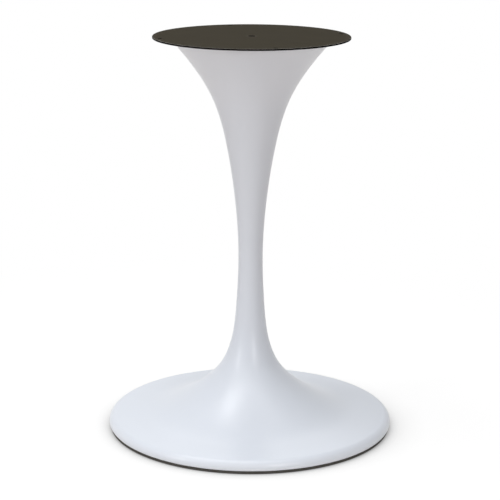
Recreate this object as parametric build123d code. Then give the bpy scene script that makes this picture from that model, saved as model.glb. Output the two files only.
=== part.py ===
from build123d import *
import os
from math import cos, radians, sin, tan

# A trumpet-shaped table base. Sizes are in millimetres and angles in degrees. +Z is up, and the
# origin is on the floor, under the middle of the foot.
overall_height = 720.0

# Outer form of the casting
foot_diameter = 520.0
rim_upper_radius = 13.2
rim_lower_radius = 6.2
skirt_slope = 5.5
skirt_length = 53.0
waist_diameter = 44.1
waist_height = 314.0
mouth_diameter = 287.6
mouth_flare_angle = 46.0
mouth_lip_height = 1.5
mouth_lip_chamfer = 0.6

# How the curve runs between its named places, as shares of the rise and of the change in radius.
# The foot's flare goes from the skirt up to the waist, the trumpet from the waist up to the mouth.
foot_flare_shape = ((0.081, 0.626), (0.179, 0.388), (0.302, 0.189), (0.477, 0.070), (0.723, 0.019))
trumpet_shape = ((0.264, 0.048), (0.513, 0.171), (0.737, 0.386), (0.887, 0.685))

# Inside of the casting
wall = 5.0
mouth_land_width = 12.0
rim_land_width = 10.0
rim_inner_chamfer = 5.0
seat_height = 150.0
seat_thickness = 12.0
seat_corner_round = 5.0
rib_count = 6
rib_thickness = 6.0
rib_depth = 14.0
rib_root_share = 0.215
rib_deepest_share = 0.1
rib_ring_clearance = 0.6

# Dark ring under the rim
foot_ring_height = 4.6
foot_ring_setback = 3.0
foot_ring_lip_height = 8.0
foot_ring_lip_thickness = 3.0
foot_ring_clearance = 0.2
foot_ring_edge_chamfer = 1.0

# Steel plate that carries the table top
plate_overhang = 31.2
plate_thickness = 3.0
plate_edge_chamfer = 0.4
screw_edge_distance = 11.0
screw_count = 4
first_screw_angle = 14.0
screw_hole_diameter = 6.5

# Rod that holds the plate down, and what it screws into and pulls on
rod_diameter = 12.0
rod_end_chamfer = 1.0
rod_recess = 2.5
rod_plate_clearance = 0.5
rod_seat_clearance = 1.5
rod_washer_clearance = 0.5
rod_lock_washer_clearance = 0.25
rod_overhang = 8.0
hub_diameter = 36.0
hub_height = 16.0
hub_edge_chamfer = 1.5
hub_weld_size = 4.0
washer_diameter = 40.0
washer_thickness = 4.0
lock_washer_diameter = 21.0
lock_washer_thickness = 2.5
lock_washer_gap = 2.5
lock_washer_gap_lean = 30.0
nut_width = 19.0
nut_sides = 6
nut_height = 10.0
nut_chamfer_angle = 30.0

foot_radius = foot_diameter / 2
mouth_radius = mouth_diameter / 2
plate_radius = mouth_radius + plate_overhang
rod_radius = rod_diameter / 2
plate_underside = overall_height - plate_thickness
seat_top = seat_height + seat_thickness
washer_underside = seat_height - washer_thickness
nut_top = washer_underside - lock_washer_thickness
nut_underside = nut_top - nut_height
rim_inner_radius = foot_radius - rim_lower_radius - rim_land_width
skin_steps = 16


def at(radius, height):
    """A place in the half-section, by its distance from the axis and its height."""
    return Vector(radius, 0, height)


def band(inner, outer, low, high):
    """A rectangle in the half-section."""
    middle = Pos((inner + outer) / 2, (low + high) / 2)
    return Plane.XZ * middle * Rectangle(outer - inner, high - low)


def between(low, high, rise, spread):
    """A place between two ends of a curve, by its shares of the rise and of the change in radius."""
    return at(low.X + (high.X - low.X) * spread, low.Z + (high.Z - low.Z) * rise)


# The outer form, from the land under the rim, round its nose, up the foot and out to the mouth
skirt_direction = at(-cos(radians(skirt_slope)), sin(radians(skirt_slope)))
mouth_direction = at(cos(radians(mouth_flare_angle)), sin(radians(mouth_flare_angle)))
land_edge = at(foot_radius - rim_lower_radius, foot_ring_height)
nose = at(foot_radius, foot_ring_height + rim_lower_radius)
shoulder = nose + at(skirt_direction.Z - 1, -skirt_direction.X) * rim_upper_radius
skirt_end = shoulder + skirt_direction * skirt_length
waist = at(waist_diameter / 2, waist_height)
mouth = at(mouth_radius, plate_underside - mouth_lip_height)
flare_places = [between(skirt_end, waist, rise, 1 - spread) for rise, spread in foot_flare_shape]
trumpet_places = [between(waist, mouth, rise, spread) for rise, spread in trumpet_shape]
form = Spline(
    [skirt_end, *flare_places, waist, *trumpet_places, mouth],
    tangents=(skirt_direction, mouth_direction),
    tangent_scalars=(1, 1),
)


def below_form(share, depth):
    """A place under the form's surface, at a share of its curve and a depth into the metal."""
    along = form % share
    return form @ share + at(-along.Z, along.X) * depth


def space_below(depth):
    """Half-section of everything that lies deeper than this under the form's surface."""
    skin = Spline(
        [below_form(step / skin_steps, depth) for step in range(skin_steps + 1)],
        tangents=(skirt_direction, mouth_direction),
        tangent_scalars=(1, 1),
    )
    foot_end = skin @ 0
    mouth_end = skin @ 1
    skirt_reach = (foot_radius - foot_end.X) / skirt_direction.X
    top = overall_height + depth
    closing = Polyline(
        mouth_end,
        at(mouth_end.X, top),
        at(0, top),
        at(0, 0),
        at(foot_radius, 0),
        foot_end + skirt_direction * skirt_reach,
        foot_end,
    )
    return make_face([*skin.edges(), *closing.edges()])


def make_rib():
    """A radial rib under the foot: deepest in mid-span, running out into the ankle and the rim."""
    root = below_form(rib_root_share, wall)
    rim_end = at(rim_inner_radius, foot_ring_height + foot_ring_lip_height + rib_ring_clearance)
    in_rim = rim_inner_radius + rim_land_width / 2
    lower_edge = Spline(rim_end, below_form(rib_deepest_share, wall + rib_depth), root)
    closing = Polyline(
        root,
        at(root.X, seat_height),
        at(in_rim, seat_height),
        at(in_rim, rim_end.Z),
        rim_end,
    )
    profile = make_face([*lower_edge.edges(), *closing.edges()]) & space_below(wall / 2)
    return extrude(profile, rib_thickness / 2, both=True)


def make_pedestal():
    """Foot, stem and trumpet, cast in one piece, with the rod's seat across the inside."""
    mouth_corner = at(mouth_radius, plate_underside)
    outline = [
        TangentArc(land_edge, nose, tangent=at(1, 0)),
        TangentArc(nose, shoulder, tangent=at(0, 1)),
        Line(shoulder, skirt_end),
        form,
        Polyline(mouth, mouth_corner, at(0, plate_underside), at(0, foot_ring_height), land_edge),
    ]
    metal = make_face([edge for line in outline for edge in line.edges()])
    metal = chamfer(metal.vertices().sort_by_distance(mouth_corner)[0], mouth_lip_chamfer)

    hollow = space_below(wall)
    trumpet_hollow = hollow & band(0, mouth_radius - mouth_land_width, seat_top, plate_underside)
    foot_hollow = hollow & band(0, rim_inner_radius, 0, seat_height)
    rim_corner = foot_hollow.vertices().group_by(Axis.X)[-1].sort_by(Axis.Z)[-1]
    foot_hollow = chamfer(rim_corner, rim_inner_chamfer)
    seat_corner = foot_hollow.vertices().group_by(Axis.Z)[-1].sort_by(Axis.X)[-1]
    foot_hollow = fillet(seat_corner, seat_corner_round)
    rod_hole = band(0, rod_radius + rod_seat_clearance, seat_height, seat_top)

    casting = revolve(metal - trumpet_hollow - foot_hollow - rod_hole, Axis.Z)
    return casting + PolarLocations(0, rib_count) * make_rib()


def make_foot_ring():
    """A soft ring with a flat tread under the rim and a lip that stands inside it."""
    outer = foot_radius - foot_ring_setback
    lip_outer = rim_inner_radius - foot_ring_clearance
    lip_inner = lip_outer - foot_ring_lip_thickness
    tread = band(lip_inner, outer, 0, foot_ring_height)
    lip = band(lip_inner, lip_outer, 0, foot_ring_height + foot_ring_lip_height)
    ring = revolve(tread + lip, Axis.Z)
    floor_edge = ring.edges().filter_by(GeomType.CIRCLE).group_by(Axis.Z)[0].sort_by(SortBy.RADIUS)[-1]
    return chamfer(floor_edge, foot_ring_edge_chamfer)


def make_top_plate():
    """The steel disc, with its screw holes outside the trumpet's mouth and the rod's hole."""
    disc = Pos(0, 0, plate_underside) * extrude(Circle(plate_radius), plate_thickness)
    disc = chamfer(disc.edges().filter_by(GeomType.CIRCLE), plate_edge_chamfer)
    screw_holes = PolarLocations(plate_radius - screw_edge_distance, screw_count, first_screw_angle)
    holes = Circle(rod_radius + rod_plate_clearance) + screw_holes * Circle(screw_hole_diameter / 2)
    return disc - Pos(0, 0, plate_underside) * extrude(holes, plate_thickness)


def make_plate_hub():
    """The threaded boss under the plate's middle, with the weld bead around its top."""
    hub_radius = hub_diameter / 2
    underside = plate_underside - hub_height
    section = make_face(Polyline(
        at(rod_radius, plate_underside),
        at(hub_radius + hub_weld_size, plate_underside),
        at(hub_radius, plate_underside - hub_weld_size),
        at(hub_radius, underside + hub_edge_chamfer),
        at(hub_radius - hub_edge_chamfer, underside),
        at(rod_radius, underside),
        close=True,
    ).edges())
    return revolve(section, Axis.Z)


def make_tie_rod():
    """The threaded rod, from just under the plate's face to a little below its nut."""
    rod = revolve(band(0, rod_radius, nut_underside - rod_overhang, overall_height - rod_recess), Axis.Z)
    return chamfer(rod.edges().filter_by(GeomType.CIRCLE), rod_end_chamfer)


def make_tie_rod_washer():
    """The large flat washer under the seat."""
    hole_radius = rod_radius + rod_washer_clearance
    return revolve(band(hole_radius, washer_diameter / 2, washer_underside, seat_height), Axis.Z)


def make_lock_washer():
    """A spring washer pressed flat, with its slanted split."""
    hole_radius = rod_radius + rod_lock_washer_clearance
    outer_radius = lock_washer_diameter / 2
    ring = revolve(band(hole_radius, outer_radius, nut_top, washer_underside), Axis.Z)
    split = Pos(outer_radius, 0, (nut_top + washer_underside) / 2) * Rot(lock_washer_gap_lean, 0, 0)
    return ring - split * Box(lock_washer_diameter, lock_washer_gap, lock_washer_diameter)


def make_tie_rod_nut():
    """A hexagon nut with its corners turned off at both faces."""
    flat_radius = nut_width / 2
    corner_radius = flat_radius / cos(radians(180 / nut_sides))
    corner_drop = (corner_radius - flat_radius) * tan(radians(nut_chamfer_angle))
    outline = RegularPolygon(flat_radius, nut_sides, major_radius=False)
    hexagon = Pos(0, 0, nut_underside) * extrude(outline, nut_height)
    turned = make_face(Polyline(
        at(0, nut_underside),
        at(flat_radius, nut_underside),
        at(corner_radius, nut_underside + corner_drop),
        at(corner_radius, nut_top - corner_drop),
        at(flat_radius, nut_top),
        at(0, nut_top),
        close=True,
    ).edges())
    bore = band(0, rod_radius, nut_underside, nut_top)
    return (hexagon & revolve(turned, Axis.Z)) - revolve(bore, Axis.Z)


nodes = {
    "pedestal": make_pedestal,
    "foot_ring": make_foot_ring,
    "top_plate": make_top_plate,
    "plate_hub": make_plate_hub,
    "tie_rod": make_tie_rod,
    "tie_rod_washer": make_tie_rod_washer,
    "lock_washer": make_lock_washer,
    "tie_rod_nut": make_tie_rod_nut,
}

os.makedirs("parts", exist_ok=True)
for name, make in nodes.items():
    export_step(make(), f"parts/{name}.step")
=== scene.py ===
from math import cos, pi, radians, sin, tan

import bmesh
import bpy
import numpy as np
from mathutils import Matrix, Vector


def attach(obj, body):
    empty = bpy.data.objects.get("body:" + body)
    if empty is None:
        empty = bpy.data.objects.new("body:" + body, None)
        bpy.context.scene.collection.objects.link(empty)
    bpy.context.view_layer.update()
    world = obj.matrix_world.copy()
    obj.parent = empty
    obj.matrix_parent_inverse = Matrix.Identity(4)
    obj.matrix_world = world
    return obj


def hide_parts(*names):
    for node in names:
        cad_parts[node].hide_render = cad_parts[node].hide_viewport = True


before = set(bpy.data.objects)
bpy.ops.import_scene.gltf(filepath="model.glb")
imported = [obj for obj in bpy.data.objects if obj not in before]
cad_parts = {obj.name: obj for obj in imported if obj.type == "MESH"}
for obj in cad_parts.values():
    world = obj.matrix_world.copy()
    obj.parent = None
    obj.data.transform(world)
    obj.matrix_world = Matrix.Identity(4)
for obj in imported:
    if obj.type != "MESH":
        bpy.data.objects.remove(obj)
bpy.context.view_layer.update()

MM = 0.001

# Sizes of the casting, ring, plate and rod in millimetres, the same values as the solids'
OVERALL_HEIGHT = 720.0
FOOT_RADIUS = 260.0
RIM_UPPER_RADIUS = 13.2
RIM_LOWER_RADIUS = 6.2
SKIRT_SLOPE = radians(5.5)
SKIRT_LENGTH = 53.0
WAIST_RADIUS = 22.05
WAIST_HEIGHT = 314.0
MOUTH_RADIUS = 143.8
MOUTH_FLARE = radians(46.0)
MOUTH_LIP = 1.5
LIP_ROUND = 0.6
PLATE_RADIUS = 175.0
PLATE_THICKNESS = 3.0
SCREW_CIRCLE_RADIUS = 164.0
SCREW_HOLE_RADIUS = 3.25
SCREW_ANGLE = 14.0
FOOT_FLARE = ((0.081, 0.626), (0.179, 0.388), (0.302, 0.189), (0.477, 0.070), (0.723, 0.019))
TRUMPET = ((0.264, 0.048), (0.513, 0.171), (0.737, 0.386), (0.887, 0.685))
WALL = 5.0
MOUTH_LAND = 12.0
RIM_LAND = 10.0
RIM_CHAMFER = 5.0
SEAT_HEIGHT = 150.0
SEAT_THICKNESS = 12.0
SEAT_ROUND = 5.0
RIB_COUNT = 6
RIB_THICKNESS = 6.0
RIB_DEPTH = 14.0
RIB_ROOT_SHARE = 0.215
RIB_DEEPEST_SHARE = 0.1
RIB_RING_CLEARANCE = 0.6
RING_HEIGHT = 4.6
RING_LIP_HEIGHT = 8.0
ROD_HOLE_RADIUS = 7.5
ROD_RADIUS = 6.0
ROD_END_CHAMFER = 1.0
ROD_RECESS = 2.5
ROD_BOTTOM = 125.5

ROD_TOP = OVERALL_HEIGHT - ROD_RECESS
PLATE_UNDERSIDE = OVERALL_HEIGHT - PLATE_THICKNESS
SEAT_TOP = SEAT_HEIGHT + SEAT_THICKNESS
RIM_INNER_RADIUS = FOOT_RADIUS - RIM_LOWER_RADIUS - RIM_LAND

# What the scene adds in millimetres: the ribs' rounded edges and the rod's thread
RIB_ROUND = 1.5
THREAD_PITCH = 1.75
THREAD_DEPTH = 0.95
THREADED_TURNS = 13
RIDGE_SINK = 0.1

# Half-widths of the ridge as shares of its pitch, and how far into its corner the seat's round goes
RIDGE_ROOT_SHARE = 0.46
RIDGE_CREST_SHARE = 0.08
SEAT_CORNER_PULL = 0.7

# How finely the curves are divided, and how near corners are merged, in metres
FORM_STEPS = 150
SKIRT_STEPS = 6
LOWER_NOSE_STEPS = 10
UPPER_NOSE_STEPS = 14
LIP_STEPS = 3
TURN_STEPS = 192
RIB_STEPS = 24
RIB_ROUND_STEPS = 3
THREAD_STEPS = 24
MERGE_DISTANCE = 1e-7

# Colours, in linear light; a pair is what a finish drifts between
COAT_TONES = (0.777, 0.824, 0.901), (0.793, 0.836, 0.913)
OLIVE_TONES = (0.0375, 0.0325, 0.0230), (0.0435, 0.0380, 0.0275)
WORN_OLIVE = (0.056, 0.050, 0.040)
# Black round the screw holes: partly burr, partly painted shade of the holes
BURR_AND_SHADE_BLACK = (0.004, 0.004, 0.0035)
# Black on the plate's cut edge and in its middle hole: painted shade of the edge and the hole
CUT_EDGE_SHADE_BLACK = (0.0015, 0.0015, 0.0013)
# A steel-grey metallic line along the top of the plate's edge: a painted highlight
RIM_HIGHLIGHT_STEEL = (0.55, 0.54, 0.51)
RUBBER_TONES = (0.055, 0.051, 0.046), (0.085, 0.080, 0.073)
ZINC_TONES = (0.52, 0.53, 0.53), (0.64, 0.64, 0.62)
FLOOR_BESIDE_FOOT = (0.98, 0.93, 0.88)
FLOOR_FARTHER_OUT = (0.67, 0.58, 0.515)
FLOOR_SHADED = (0.30, 0.30, 0.30)
WHITE = (1.0, 1.0, 1.0)

# Grain of the finishes, as the height in metres that the bump stands for
PAINT_GRAIN = 0.00003
ZINC_GRAIN = 0.00002

# Wear on the plate: the millimetres that its middle's marks are drawn on, and the strength at the rim
BURNISH_SCALE = 20.0
OUTER_WEAR = 0.6

# Floor and lamps: lengths in metres, strengths as plain shares of white
AMBIENT = 0.225
FLOOR_LIFT = 0.78
FLOOR_FADE_SCALE = 1.5
FLOOR_HALF_WIDTH = 30.0
CONTACT_SHADE_REACH = 0.068
CONTACT_SHADE_SAMPLES = 16
LIT_MIDDLE = (0.0, 0.0, 0.2)
LAMP_DISTANCE = 2.6

# The camera as fitted to the outlines in the photograph: pixels, metres and radians
FOCAL_LENGTH = 1690.5
PICTURE_WIDTH = 500.0
SENSOR_WIDTH = 36.0
CAMERA_PLACE = (0.0, -2.9718, 1.0933)
CAMERA_TILT = 0.2509
CAMERA_ROLL = 0.0053
CAMERA_SHIFT = -0.0012


class Value:
    """A socket that takes part in sums: each operator adds the Math node that does it."""

    def __init__(self, finish, socket):
        self.finish = finish
        self.socket = socket

    def _sum(self, operation, first, second):
        return self.finish.node("ShaderNodeMath", {"operation": operation}, {0: first, 1: second})

    def __add__(self, other):
        return self._sum("ADD", self, other)

    def __radd__(self, other):
        return self._sum("ADD", other, self)

    def __sub__(self, other):
        return self._sum("SUBTRACT", self, other)

    def __rsub__(self, other):
        return self._sum("SUBTRACT", other, self)

    def __mul__(self, other):
        return self._sum("MULTIPLY", self, other)

    def __rmul__(self, other):
        return self._sum("MULTIPLY", other, self)

    def __truediv__(self, other):
        return self._sum("DIVIDE", self, other)

    def __pow__(self, other):
        return self._sum("POWER", self, other)


class Finish:
    """The nodes of a material or a world, each added by its type, settings and inputs."""

    def __init__(self, owner):
        owner.use_nodes = True
        self.owner = owner
        self.tree = owner.node_tree
        self.tree.nodes.clear()

    def node(self, kind, settings=None, inputs=None, output=0):
        """Adds a node, and gives one of its outputs."""
        made = self.tree.nodes.new(kind)
        for key, value in (settings or {}).items():
            if key == "stops":
                ramp = made.color_ramp
                while len(ramp.elements) < len(value):
                    ramp.elements.new(0.5)
                for element, (place, level) in zip(ramp.elements, value):
                    element.position = place
                    element.color = (level, level, level, 1.0)
            else:
                setattr(made, key, value)
        for key, value in (inputs or {}).items():
            socket = made.inputs[key]
            if isinstance(value, Value):
                self.tree.links.new(value.socket, socket)
            elif isinstance(value, tuple) and len(value) == 3 and socket.type == "RGBA":
                socket.default_value = (*value, 1.0)
            else:
                socket.default_value = value
        return Value(self, made.outputs[output]) if made.outputs else None

    def place(self):
        """Object coordinates, in metres."""
        return self.node("ShaderNodeTexCoord", output="Object")

    def noise(self, scale, detail, roughness):
        inputs = {"Vector": self.place(), "Scale": scale, "Detail": detail, "Roughness": roughness}
        return self.node("ShaderNodeTexNoise", None, inputs)

    def ramp(self, value, *stops):
        """A grey level that runs between stops, each a place and a level."""
        return self.node("ShaderNodeValToRGB", {"stops": stops}, {0: value})

    def blend(self, share, first, second):
        """A colour between two, by a share from 0 to 1."""
        inputs = {"Factor": share, 6: first, 7: second}
        return self.node("ShaderNodeMix", {"data_type": "RGBA"}, inputs, output=2)

    def larger(self, first, second):
        return self.node("ShaderNodeMath", {"operation": "MAXIMUM"}, {0: first, 1: second})

    def smaller(self, first, second):
        return self.node("ShaderNodeMath", {"operation": "MINIMUM"}, {0: first, 1: second})

    def magnitude(self, value):
        return self.node("ShaderNodeMath", {"operation": "ABSOLUTE"}, {0: value})

    def axes(self):
        """The three object coordinates, each on its own."""
        split = self.node("ShaderNodeSeparateXYZ", None, {0: self.place()})
        node = split.socket.node
        return [Value(self, node.outputs[i]) for i in range(3)]

    def bump(self, height, depth, strength):
        inputs = {"Strength": strength, "Distance": depth, "Height": height}
        return self.node("ShaderNodeBump", None, inputs)

    def surface(self, **inputs):
        """The closing shader, with its sockets named in the plain form, such as base_color."""
        named = {}
        for key, value in inputs.items():
            named[key.replace("_", " ").title().replace("Ior", "IOR")] = value
        shader = self.node("ShaderNodeBsdfPrincipled", None, named)
        self.node("ShaderNodeOutputMaterial", None, {"Surface": shader})
        return self.owner


def white_coat():
    """Satin white coat on a casting: a faint orange peel, a little unevenness in gloss and tone."""
    finish = Finish(bpy.data.materials.new("white_coat"))
    peel = finish.noise(420.0, 2.0, 0.4)
    drift = finish.noise(9.0, 2.0, 0.5)
    tone = finish.blend(drift, *COAT_TONES)
    gloss = 0.28 + 0.06 * finish.noise(30.0, 3.0, 0.6)
    return finish.surface(
        base_color=tone,
        roughness=gloss,
        specular_ior_level=0.5,
        normal=finish.bump(peel, PAINT_GRAIN, 0.2),
    )


def plate_paint():
    """Thin olive paint on sheet steel, with black painted shade on the cut edges and round the holes
    (partly burr), and a painted highlight as a metallic steel line along the sharp rim.
    """
    finish = Finish(bpy.data.materials.new("plate_paint"))
    blotch = finish.ramp(finish.noise(14.0, 4.0, 0.6), (0.35, 0.0), (0.65, 1.0))
    across, along, height = finish.axes()
    radius = (across * across + along * along) ** 0.5 / MM
    depth = OVERALL_HEIGHT - height / MM
    olive = finish.blend(blotch, *OLIVE_TONES)
    burnish = finish.ramp(radius / BURNISH_SCALE, (0.35, 1.0), (0.60, 0.0))
    outer_wear = finish.ramp(radius / PLATE_RADIUS, (0.93, 0.0), (1.0, 1.0))
    face = finish.blend(finish.larger(burnish, outer_wear * OUTER_WEAR), olive, WORN_OLIVE)

    turn = radians(SCREW_ANGLE)
    first = finish.magnitude(across * cos(turn) + along * sin(turn)) / MM
    second = finish.magnitude(along * cos(turn) - across * sin(turn)) / MM
    outward = finish.larger(first, second) - SCREW_CIRCLE_RADIUS
    sideways = finish.smaller(first, second)
    to_hole = (outward * outward + sideways * sideways) ** 0.5
    # A dark ring round each screw hole, its wall black too: partly burr, partly painted shade of the hole
    burr_and_shade = finish.ramp(to_hole / SCREW_HOLE_RADIUS / 2, (0.60, 1.0), (0.75, 0.0))
    face = finish.blend(burr_and_shade, face, BURR_AND_SHADE_BLACK)

    # The plate's cut edge and middle hole are painted black as their shade
    below_face = finish.ramp(depth, (0.02, 0.0), (0.05, 1.0))
    at_edge = finish.ramp((PLATE_RADIUS - radius) / PLATE_THICKNESS, (0.15, 1.0), (0.18, 0.0))
    in_middle_hole = finish.ramp(radius / BURNISH_SCALE, (0.33, 1.0), (0.36, 0.0))
    painted_edge_shade = below_face * finish.larger(at_edge, in_middle_hole)
    # A thin metallic steel line at the top of the edge: a painted highlight along the rim
    rim_highlight = finish.ramp(depth, (0.10, 1.0), (0.16, 0.0)) * below_face * at_edge
    cut = finish.blend(rim_highlight, CUT_EDGE_SHADE_BLACK, RIM_HIGHLIGHT_STEEL)
    return finish.surface(
        base_color=finish.blend(painted_edge_shade, face, cut),
        roughness=0.88 + 0.08 * blotch,
        metallic=rim_highlight,
        specular_ior_level=0.02,
        normal=finish.bump(finish.noise(900.0, 2.0, 0.5), PAINT_GRAIN, 0.5),
    )


def ring_rubber():
    """Matt black rubber with a greyish bloom."""
    finish = Finish(bpy.data.materials.new("ring_rubber"))
    bloom = finish.noise(60.0, 3.0, 0.6)
    tone = finish.blend(bloom, *RUBBER_TONES)
    return finish.surface(
        base_color=tone,
        roughness=0.72 + 0.12 * bloom,
        specular_ior_level=0.3,
        normal=finish.bump(finish.noise(1500.0, 2.0, 0.5), PAINT_GRAIN, 0.5),
    )


def zinc_plate():
    """Dull zinc plating on steel fasteners."""
    finish = Finish(bpy.data.materials.new("zinc_plate"))
    cloud = finish.noise(160.0, 3.0, 0.6)
    tone = finish.blend(cloud, *ZINC_TONES)
    return finish.surface(
        base_color=tone,
        metallic=1.0,
        roughness=0.34 + 0.14 * cloud,
        normal=finish.bump(finish.noise(1200.0, 2.0, 0.5), ZINC_GRAIN, 0.5),
    )


def point(radius, height):
    """A place in the half-section, by its distance from the axis and its height."""
    return np.array([radius, height])


def between(low, high, rise, spread):
    """A place between two ends of a curve, by its shares of the rise and of the change in radius."""
    return point(low[0] + (high[0] - low[0]) * spread, low[1] + (high[1] - low[1]) * rise)


class SmoothCurve:
    """The smoothest curve through some places, with a direction at each end."""

    def __init__(self, places, start, end):
        self.places = np.array(places)
        steps = np.linalg.norm(np.diff(self.places, axis=0), axis=1)
        self.marks = np.concatenate([[0.0], np.cumsum(steps)])
        count = len(self.places)
        system = np.zeros((count, count))
        wanted = np.zeros((count, 2))
        system[0, 0] = system[-1, -1] = 1.0
        wanted[0], wanted[-1] = start, end
        for i in range(1, count - 1):
            before, after = steps[i - 1], steps[i]
            system[i, i - 1:i + 2] = after, 2 * (before + after), before
            rise_before = (self.places[i] - self.places[i - 1]) / before
            rise_after = (self.places[i + 1] - self.places[i]) / after
            wanted[i] = 3 * (after * rise_before + before * rise_after)
        self.slopes = np.linalg.solve(system, wanted)

    def span(self, share):
        """Which piece of the curve a share falls in, how long that piece is, and the share along it."""
        mark = share * self.marks[-1]
        i = int(np.clip(np.searchsorted(self.marks, mark) - 1, 0, len(self.places) - 2))
        length = self.marks[i + 1] - self.marks[i]
        return i, length, (mark - self.marks[i]) / length

    def at(self, share):
        i, length, t = self.span(share)
        here, there = self.places[i], self.places[i + 1]
        leave, arrive = self.slopes[i] * length, self.slopes[i + 1] * length
        return (
            (2 * t**3 - 3 * t**2 + 1) * here
            + (t**3 - 2 * t**2 + t) * leave
            + (3 * t**2 - 2 * t**3) * there
            + (t**3 - t**2) * arrive
        )

    def direction(self, share):
        i, length, t = self.span(share)
        here, there = self.places[i], self.places[i + 1]
        leave, arrive = self.slopes[i] * length, self.slopes[i + 1] * length
        along = (
            (6 * t**2 - 6 * t) * (here - there)
            + (3 * t**2 - 4 * t + 1) * leave
            + (3 * t**2 - 2 * t) * arrive
        )
        return along / np.linalg.norm(along)

    def below(self, share, depth):
        """A place under the surface, at a share of the curve and a depth into the metal."""
        along = self.direction(share)
        return self.at(share) + point(-along[1], along[0]) * depth


skirt_direction = point(-cos(SKIRT_SLOPE), sin(SKIRT_SLOPE))
mouth_direction = point(cos(MOUTH_FLARE), sin(MOUTH_FLARE))
nose = point(FOOT_RADIUS, RING_HEIGHT + RIM_LOWER_RADIUS)
shoulder = nose + point(skirt_direction[1] - 1, -skirt_direction[0]) * RIM_UPPER_RADIUS
skirt_end = shoulder + skirt_direction * SKIRT_LENGTH
waist = point(WAIST_RADIUS, WAIST_HEIGHT)
mouth = point(MOUTH_RADIUS, PLATE_UNDERSIDE - MOUTH_LIP)
form = SmoothCurve(
    [
        skirt_end,
        *[between(skirt_end, waist, rise, 1 - spread) for rise, spread in FOOT_FLARE],
        waist,
        *[between(waist, mouth, rise, spread) for rise, spread in TRUMPET],
        mouth,
    ],
    skirt_direction,
    mouth_direction,
)


def arc(centre, radius, start, end, steps):
    """Places round part of a circle, between two angles in degrees."""
    angles = np.radians(np.linspace(start, end, steps + 1))
    return [centre + point(cos(a), sin(a)) * radius for a in angles]


def crossing(curve_places, coordinate, level):
    """Where a run of places passes a level of one coordinate, 0 for the radius and 1 for the height."""
    for here, there in zip(curve_places, curve_places[1:]):
        low, high = sorted((here[coordinate], there[coordinate]))
        if low <= level <= high:
            share = (level - here[coordinate]) / (there[coordinate] - here[coordinate])
            return here + (there - here) * share
    raise ValueError(f"the curve never passes {level}")


def casting_section():
    """The casting's closed half-section in millimetres, from the land under the rim, outside first."""
    flat_angle = np.degrees(SKIRT_SLOPE)
    lower_nose = arc(nose - point(RIM_LOWER_RADIUS, 0), RIM_LOWER_RADIUS, -90, 0, LOWER_NOSE_STEPS)
    upper_centre = nose - point(RIM_UPPER_RADIUS, 0)
    upper_nose = arc(upper_centre, RIM_UPPER_RADIUS, 0, 90 - flat_angle, UPPER_NOSE_STEPS)
    skirt = [shoulder + (skirt_end - shoulder) * i / SKIRT_STEPS for i in range(1, SKIRT_STEPS)]
    outside = [form.at(i / FORM_STEPS) for i in range(FORM_STEPS + 1)]
    corner = point(MOUTH_RADIUS, PLATE_UNDERSIDE)
    lip = arc(corner - point(LIP_ROUND, LIP_ROUND), LIP_ROUND, 0, 90, LIP_STEPS)

    skin = [form.below(i / FORM_STEPS, WALL) for i in range(FORM_STEPS + 1)]
    mouth_inner = MOUTH_RADIUS - MOUTH_LAND
    inside_top = crossing(skin[::-1], 0, mouth_inner)
    trumpet_skin = [
        p for p in skin[::-1]
        if SEAT_TOP < p[1] < inside_top[1] and p[0] < mouth_inner
    ]
    seat_top_edge = crossing(skin, 1, SEAT_TOP)
    rod_hole = [point(ROD_HOLE_RADIUS, SEAT_TOP), point(ROD_HOLE_RADIUS, SEAT_HEIGHT)]

    seat_corner = crossing(skin, 1, SEAT_HEIGHT)
    seat_end = seat_corner - point(SEAT_ROUND, 0)
    below_seat = crossing(skin, 1, SEAT_HEIGHT - SEAT_ROUND)
    chord_middle = (seat_end + below_seat) / 2
    round_middle = chord_middle + (seat_corner - chord_middle) * SEAT_CORNER_PULL
    foot_skin = [p for p in skin[::-1] if p[1] < below_seat[1]]
    reach = (RIM_INNER_RADIUS - RIM_CHAMFER - skin[0][0]) / skirt_direction[0]
    chamfer_top = skin[0] + skirt_direction * reach
    drop = RIM_CHAMFER * (1 + tan(SKIRT_SLOPE))
    rim_bottom = [
        chamfer_top,
        point(RIM_INNER_RADIUS, chamfer_top[1] - drop),
        point(RIM_INNER_RADIUS, RING_HEIGHT),
    ]
    return [
        *lower_nose, *upper_nose[1:], *skirt, *outside, *lip,
        point(mouth_inner, PLATE_UNDERSIDE), inside_top, *trumpet_skin, seat_top_edge,
        *rod_hole, seat_end, round_middle, below_seat, *foot_skin, *rim_bottom,
    ]


def spin_section(section, steps, on_axis=False):
    """A mesh made by turning a half-section in millimetres once round the axis, where its ends may lie."""
    mesh = bmesh.new()
    corners = [mesh.verts.new((radius * MM, 0, height * MM)) for radius, height in section]
    edges = [mesh.edges.new((a, b)) for a, b in zip(corners, corners[1:])]
    if not on_axis:
        edges.append(mesh.edges.new((corners[-1], corners[0])))
    bmesh.ops.spin(
        mesh, geom=corners + edges, cent=(0, 0, 0), axis=(0, 0, 1), dvec=(0, 0, 0),
        angle=2 * pi, steps=steps, use_merge=True, use_duplicate=False,
    )
    bmesh.ops.remove_doubles(mesh, verts=mesh.verts, dist=MERGE_DISTANCE)
    bmesh.ops.recalc_face_normals(mesh, faces=mesh.faces)
    return mesh


def rib_lower_edge(steps):
    """The free edge of a rib, in millimetres, from the rim's inner wall to the ankle."""
    rim_end = point(RIM_INNER_RADIUS, RING_HEIGHT + RING_LIP_HEIGHT + RIB_RING_CLEARANCE)
    deepest = form.below(RIB_DEEPEST_SHARE, WALL + RIB_DEPTH)
    root = form.below(RIB_ROOT_SHARE, WALL)
    outer, inner = np.linalg.norm(deepest - rim_end), np.linalg.norm(root - deepest)
    middle = outer / (outer + inner)
    return [
        rim_end * (t - middle) * (t - 1) / middle
        + deepest * t * (t - 1) / (middle * (middle - 1))
        + root * t * (t - middle) / (1 - middle)
        for t in np.linspace(0, 1, steps + 1)
    ]


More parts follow.
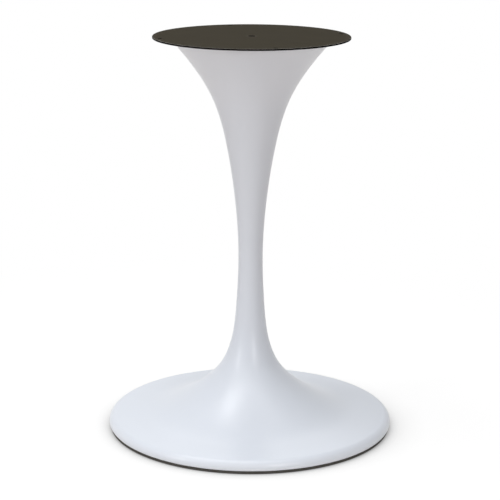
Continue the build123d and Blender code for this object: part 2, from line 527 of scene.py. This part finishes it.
def make_ribs():
    """The radial ribs, their tops buried in half the wall and their free edges rounded."""
    free_edge = rib_lower_edge(RIB_STEPS)
    buried = [form.below(share, WALL / 2) for share in np.linspace(0, RIB_ROOT_SHARE, RIB_STEPS)]
    in_rim = RIM_INNER_RADIUS + RIM_LAND / 2
    reach = (in_rim - buried[0][0]) / skirt_direction[0]
    buried = [p for p in buried if p[0] > free_edge[-1][0]]
    buried_end = point(free_edge[-1][0], buried[-1][1])
    outline = [*free_edge, buried_end, *buried[::-1], buried[0] + skirt_direction * reach]
    outline.append(point(in_rim, free_edge[0][1]))

    mesh = bmesh.new()
    half = RIB_THICKNESS / 2
    corners = [mesh.verts.new((radius * MM, -half * MM, height * MM)) for radius, height in outline]
    side = mesh.faces.new(corners)
    extruded = bmesh.ops.extrude_face_region(mesh, geom=[side])
    far_side = [item for item in extruded["geom"] if isinstance(item, bmesh.types.BMVert)]
    bmesh.ops.translate(mesh, verts=far_side, vec=(0, RIB_THICKNESS * MM, 0))
    free_places = {(round(radius * MM, 6), round(height * MM, 6)) for radius, height in free_edge}
    free_corners = {v for v in mesh.verts if (round(v.co.x, 6), round(v.co.z, 6)) in free_places}
    long_edges = [
        edge for edge in mesh.edges
        if set(edge.verts) <= free_corners and abs(edge.verts[0].co.y - edge.verts[1].co.y) < half * MM
    ]
    bmesh.ops.bevel(
        mesh, geom=long_edges, offset=RIB_ROUND * MM, offset_type="OFFSET", segments=RIB_ROUND_STEPS,
        profile=0.5, affect="EDGES", material=-1, clamp_overlap=True,
    )
    bmesh.ops.spin(
        mesh, geom=mesh.verts[:] + mesh.edges[:] + mesh.faces[:], cent=(0, 0, 0), axis=(0, 0, 1),
        dvec=(0, 0, 0), angle=2 * pi * (RIB_COUNT - 1) / RIB_COUNT, steps=RIB_COUNT - 1, use_duplicate=True,
    )
    bmesh.ops.recalc_face_normals(mesh, faces=mesh.faces)
    return mesh


def make_rod():
    """The tie rod: a plain core with the thread's ridge wound round both ends, cut to the end chamfers."""
    core_radius = ROD_RADIUS - THREAD_DEPTH
    core = [
        point(0, ROD_BOTTOM),
        point(core_radius, ROD_BOTTOM),
        point(core_radius, ROD_TOP),
        point(0, ROD_TOP),
    ]
    mesh = spin_section(core, THREAD_STEPS, on_axis=True)
    root = THREAD_PITCH * RIDGE_ROOT_SHARE
    crest = THREAD_PITCH * RIDGE_CREST_SHARE
    root_radius = core_radius - RIDGE_SINK
    ridge = [(root_radius, -root), (ROD_RADIUS, -crest), (ROD_RADIUS, crest), (root_radius, root)]
    for start in (ROD_BOTTOM + root, ROD_TOP - root - THREAD_PITCH * THREADED_TURNS):
        corners = [mesh.verts.new((radius * MM, 0, (start + height) * MM)) for radius, height in ridge]
        end_face = mesh.faces.new(corners)
        bmesh.ops.spin(
            mesh, geom=[end_face, *end_face.edges, *corners], cent=(0, 0, 0), axis=(0, 0, 1),
            dvec=(0, 0, THREAD_PITCH / THREAD_STEPS * MM), angle=2 * pi * THREADED_TURNS,
            steps=THREAD_STEPS * THREADED_TURNS, use_duplicate=False,
        )
    for corner in mesh.verts:
        reach = np.hypot(corner.co.x, corner.co.y)
        to_end = min(corner.co.z - ROD_BOTTOM * MM, ROD_TOP * MM - corner.co.z)
        widest = (ROD_RADIUS - ROD_END_CHAMFER) * MM + max(to_end, 0)
        if reach > widest:
            corner.co.x *= widest / reach
            corner.co.y *= widest / reach
    bmesh.ops.recalc_face_normals(mesh, faces=mesh.faces)
    return mesh


def add_piece(name, mesh, material, node, sharp):
    """Puts a mesh into the scene in place of its node, smooth but for edges sharper than an angle."""
    data = bpy.data.meshes.new(name)
    for face in mesh.faces:
        face.smooth = True
    for edge in mesh.edges:
        if len(edge.link_faces) == 2 and edge.calc_face_angle() > radians(sharp):
            edge.smooth = False
    mesh.to_mesh(data)
    mesh.free()
    data.materials.append(material)
    piece = bpy.data.objects.new(name, data)
    bpy.context.scene.collection.objects.link(piece)
    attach(piece, "root")
    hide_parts(node)


coat = white_coat()
paint = plate_paint()
rubber = ring_rubber()
zinc = zinc_plate()

casting = spin_section(casting_section(), TURN_STEPS)
add_piece("casting", casting, coat, "pedestal", sharp=30)
add_piece("foot_ribs", make_ribs(), coat, "pedestal", sharp=40)
add_piece("threaded_rod", make_rod(), zinc, "tie_rod", sharp=30)

for name, material in (
    ("foot_ring", rubber), ("top_plate", paint), ("plate_hub", paint),
    ("tie_rod_washer", zinc), ("lock_washer", zinc), ("tie_rod_nut", zinc),
):
    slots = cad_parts[name].data.materials
    slots.clear()
    slots.append(material)


def light_path(finish):
    """1 for the rays that see a background: from the camera, from gloss and through glass."""
    straight = finish.node("ShaderNodeLightPath", output="Is Camera Ray")
    outputs = straight.socket.node.outputs
    glossy = Value(finish, outputs["Is Glossy Ray"])
    through = Value(finish, outputs["Is Transmission Ray"])
    clamped_sum = {"operation": "ADD", "use_clamp": True}
    return finish.node("ShaderNodeMath", clamped_sum, {0: straight + glossy, 1: through})


def floor_finish():
    """A white floor that keeps the object's shadow, and lets light by from below and under the foot."""
    finish = Finish(bpy.data.materials.new("floor"))
    seen = light_path(finish)
    across, along, _ = finish.axes()
    distance = (across * across + along * along) ** 0.5
    near = finish.ramp(distance / FLOOR_FADE_SCALE, (0.35, 1.0), (0.8, 0.0))
    beside_foot = finish.ramp(distance, (0.28, 1.0), (0.42, 0.0))
    under_foot = finish.ramp(distance / (FOOT_RADIUS * MM), (0.92, 1.0), (0.93, 0.0))
    sent_back = finish.blend(beside_foot, FLOOR_FARTHER_OUT, FLOOR_BESIDE_FOOT)
    lit = finish.node("ShaderNodeBsdfDiffuse", None, {"Color": sent_back})
    shaded = finish.node("ShaderNodeBsdfDiffuse", None, {"Color": FLOOR_SHADED})
    samples = {"samples": CONTACT_SHADE_SAMPLES}
    open_sky = finish.node("ShaderNodeAmbientOcclusion", samples, {"Distance": CONTACT_SHADE_REACH})
    lift = finish.node("ShaderNodeEmission", None, {"Color": open_sky, "Strength": FLOOR_LIFT})
    both = finish.node("ShaderNodeAddShader", None, {0: shaded, 1: lift})
    white = finish.node("ShaderNodeEmission", None, {"Color": WHITE, "Strength": 1.0})
    far = finish.node("ShaderNodeMixShader", None, {0: near, 1: white, 2: both})
    shown = finish.node("ShaderNodeMixShader", None, {0: seen, 1: lit, 2: far})
    behind = finish.node("ShaderNodeNewGeometry", output="Backfacing")
    clear = finish.node("ShaderNodeBsdfTransparent")
    open_here = finish.larger(behind, under_foot)
    one_sided = finish.node("ShaderNodeMixShader", None, {0: open_here, 1: shown, 2: clear})
    finish.node("ShaderNodeOutputMaterial", None, {"Surface": one_sided})
    return finish.owner


def make_floor():
    mesh = bmesh.new()
    bmesh.ops.create_grid(mesh, x_segments=1, y_segments=1, size=FLOOR_HALF_WIDTH)
    data = bpy.data.meshes.new("floor")
    mesh.to_mesh(data)
    mesh.free()
    data.materials.append(floor_finish())
    floor = bpy.data.objects.new("floor", data)
    bpy.context.scene.collection.objects.link(floor)


def light_world():
    """White where it is seen, and a plain ambient light on the object."""
    finish = Finish(bpy.data.worlds.new("studio"))
    bpy.context.scene.world = finish.owner
    seen = light_path(finish)
    ambient = finish.node("ShaderNodeBackground", None, {"Color": WHITE, "Strength": AMBIENT})
    white = finish.node("ShaderNodeBackground", None, {"Color": WHITE, "Strength": 1.0})
    mixed = finish.node("ShaderNodeMixShader", None, {0: seen, 1: ambient, 2: white})
    finish.node("ShaderNodeOutputWorld", None, {"Surface": mixed})


def add_softbox(name, azimuth, elevation, width, height, power):
    """A soft white lamp round the object, its azimuth in degrees from the front towards the right."""
    turn, lift = radians(azimuth), radians(elevation)
    towards = Vector((cos(lift) * sin(turn), -cos(lift) * cos(turn), sin(lift)))
    lamp = bpy.data.lights.new(name, "AREA")
    lamp.shape = "RECTANGLE"
    lamp.size = width
    lamp.size_y = height
    lamp.energy = power
    holder = bpy.data.objects.new(name, lamp)
    holder.location = Vector(LIT_MIDDLE) + towards * LAMP_DISTANCE
    holder.rotation_mode = "QUATERNION"
    holder.rotation_quaternion = (-towards).to_track_quat("-Z", "Y")
    bpy.context.scene.collection.objects.link(holder)


def add_camera():
    """The photograph's view: from the front, 14.4 degrees above level, with a long lens."""
    camera = bpy.data.cameras.new("camera")
    camera.sensor_width = SENSOR_WIDTH
    camera.lens = FOCAL_LENGTH / PICTURE_WIDTH * SENSOR_WIDTH
    camera.shift_x = CAMERA_SHIFT
    holder = bpy.data.objects.new("camera", camera)
    tilt = Matrix.Rotation(radians(90.0) - CAMERA_TILT, 4, "X")
    roll = Matrix.Rotation(CAMERA_ROLL, 4, "Z")
    holder.matrix_world = Matrix.Translation(CAMERA_PLACE) @ tilt @ roll
    bpy.context.scene.collection.objects.link(holder)
    bpy.context.scene.camera = holder


make_floor()
light_world()
add_softbox("ceiling_softbox", 0, 89.9, 1.8, 1.8, 22.0)
add_softbox("left_softbox", -45, 60, 2.2, 2.2, 17.5)
add_softbox("key_softbox", -95, 69, 0.8, 0.8, 10.4)
add_softbox("left_strip", -57, 20, 0.22, 0.9, 9.6)
add_softbox("right_strip", 22, 16, 0.14, 0.9, 12.0)
add_softbox("back_softbox", 180, 40, 1.6, 1.2, 5.1)
add_camera()
bpy.context.scene.view_settings.view_transform = "Standard"
